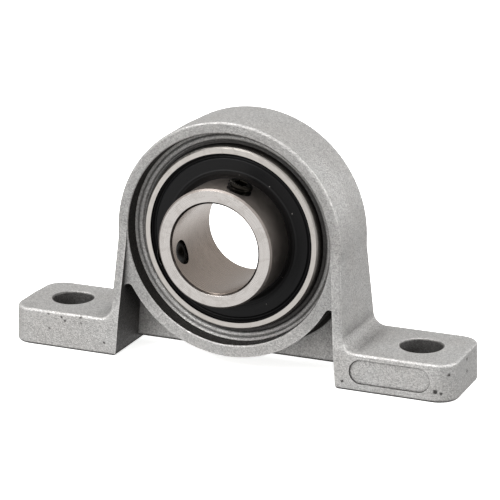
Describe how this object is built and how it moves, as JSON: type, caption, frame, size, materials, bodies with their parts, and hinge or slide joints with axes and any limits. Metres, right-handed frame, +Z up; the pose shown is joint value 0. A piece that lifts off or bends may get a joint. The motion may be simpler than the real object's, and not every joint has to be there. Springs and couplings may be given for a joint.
{
  "type": "pillow block bearing",
  "caption": "Self-aligning pillow block bearing: a die-cast two-bolt housing holds a sealed insert ball bearing whose collar grips a 15 mm shaft with set screws.",
  "frame": {"origin": "on the base plane, midway between the two bolt holes", "axes": "+X along the feet, +Y along the shaft away from the collar, +Z up"},
  "size_m": [0.079, 0.0193, 0.0419],
  "materials": {
    "housing": "zinc alloy, die cast and blasted, matte",
    "outer_ring": "ground",
    "inner_ring": "ground, lightly oiled",
    "balls": "polished",
    "cage": "pressed strip",
    "rivets": "plain",
    "seal_core": "plain",
    "seal_rubber": "moulded, satin",
    "set_screws": "black oxide"
  },
  "bodies": {
    "housing": {"housing": "housing"},
    "insert": {"outer_ring": "outer_ring", "seal_front_core": "seal_core", "seal_front_rubber": "seal_rubber", "seal_rear_core": "seal_core", "seal_rear_rubber": "seal_rubber"},
    "inner_ring": {"inner_ring": "inner_ring"},
    "cage": {"cage_front_half": "cage", "cage_rear_half": "cage", "cage_rivets": "rivets"},
    "ball_1": {"ball_1": "balls"},
    "ball_2": {"ball_2": "balls"},
    "ball_3": {"ball_3": "balls"},
    "ball_4": {"ball_4": "balls"},
    "ball_5": {"ball_5": "balls"},
    "ball_6": {"ball_6": "balls"},
    "ball_7": {"ball_7": "balls"},
    "ball_8": {"ball_8": "balls"},
    "ball_9": {"ball_9": "balls"},
    "set_screw_top": {"set_screw_top": "set_screws"},
    "set_screw_side": {"set_screw_side": "set_screws"}
  },
  "joints": [
    {"name": "insert_tilt", "type": "hinge", "parent": "housing", "child": "insert", "pos_m": [0, -0.0003, 0.022], "axis": [1, 0, 0], "range_deg": [-3, 3]},
    {"name": "shaft_spin", "type": "hinge", "parent": "insert", "child": "inner_ring", "pos_m": [0, -0.0003, 0.022], "axis": [0, 1, 0], "continuous": true},
    {"name": "cage_spin", "type": "hinge", "parent": "insert", "child": "cage", "pos_m": [0, -0.0003, 0.022], "axis": [0, 1, 0], "continuous": true},
    {"name": "ball_1_spin", "type": "hinge", "parent": "cage", "child": "ball_1", "pos_m": [0, -0.0003, 0.0336], "axis": [0, 1, 0], "continuous": true},
    {"name": "ball_2_spin", "type": "hinge", "parent": "cage", "child": "ball_2", "pos_m": [-0.00746, -0.0003, 0.03089], "axis": [0, 1, 0], "continuous": true},
    {"name": "ball_3_spin", "type": "hinge", "parent": "cage", "child": "ball_3", "pos_m": [-0.01142, -0.0003, 0.02401], "axis": [0, 1, 0], "continuous": true},
    {"name": "ball_4_spin", "type": "hinge", "parent": "cage", "child": "ball_4", "pos_m": [-0.01005, -0.0003, 0.0162], "axis": [0, 1, 0], "continuous": true},
    {"name": "ball_5_spin", "type": "hinge", "parent": "cage", "child": "ball_5", "pos_m": [-0.00397, -0.0003, 0.0111], "axis": [0, 1, 0], "continuous": true},
    {"name": "ball_6_spin", "type": "hinge", "parent": "cage", "child": "ball_6", "pos_m": [0.00397, -0.0003, 0.0111], "axis": [0, 1, 0], "continuous": true},
    {"name": "ball_7_spin", "type": "hinge", "parent": "cage", "child": "ball_7", "pos_m": [0.01005, -0.0003, 0.0162], "axis": [0, 1, 0], "continuous": true},
    {"name": "ball_8_spin", "type": "hinge", "parent": "cage", "child": "ball_8", "pos_m": [0.01142, -0.0003, 0.02401], "axis": [0, 1, 0], "continuous": true},
    {"name": "ball_9_spin", "type": "hinge", "parent": "cage", "child": "ball_9", "pos_m": [0.00746, -0.0003, 0.03089], "axis": [0, 1, 0], "continuous": true},
    {"name": "set_screw_top_slide", "type": "slide", "parent": "inner_ring", "child": "set_screw_top", "axis": [-0.304, 0, -0.9527], "range_m": [0, 0.0012]},
    {"name": "set_screw_side_slide", "type": "slide", "parent": "inner_ring", "child": "set_screw_side", "axis": [0.9548, 0, 0.2974], "range_m": [0, 0.0012]}
  ],
  "couplings": [
    {"joint": "cage_spin", "follows": "shaft_spin", "ratio": 0.39737},
    {"joint": "ball_1_spin", "follows": "shaft_spin", "ratio": -2.3333},
    {"joint": "ball_2_spin", "follows": "shaft_spin", "ratio": -2.3333},
    {"joint": "ball_3_spin", "follows": "shaft_spin", "ratio": -2.3333},
    {"joint": "ball_4_spin", "follows": "shaft_spin", "ratio": -2.3333},
    {"joint": "ball_5_spin", "follows": "shaft_spin", "ratio": -2.3333},
    {"joint": "ball_6_spin", "follows": "shaft_spin", "ratio": -2.3333},
    {"joint": "ball_7_spin", "follows": "shaft_spin", "ratio": -2.3333},
    {"joint": "ball_8_spin", "follows": "shaft_spin", "ratio": -2.3333},
    {"joint": "ball_9_spin", "follows": "shaft_spin", "ratio": -2.3333}
  ]
}
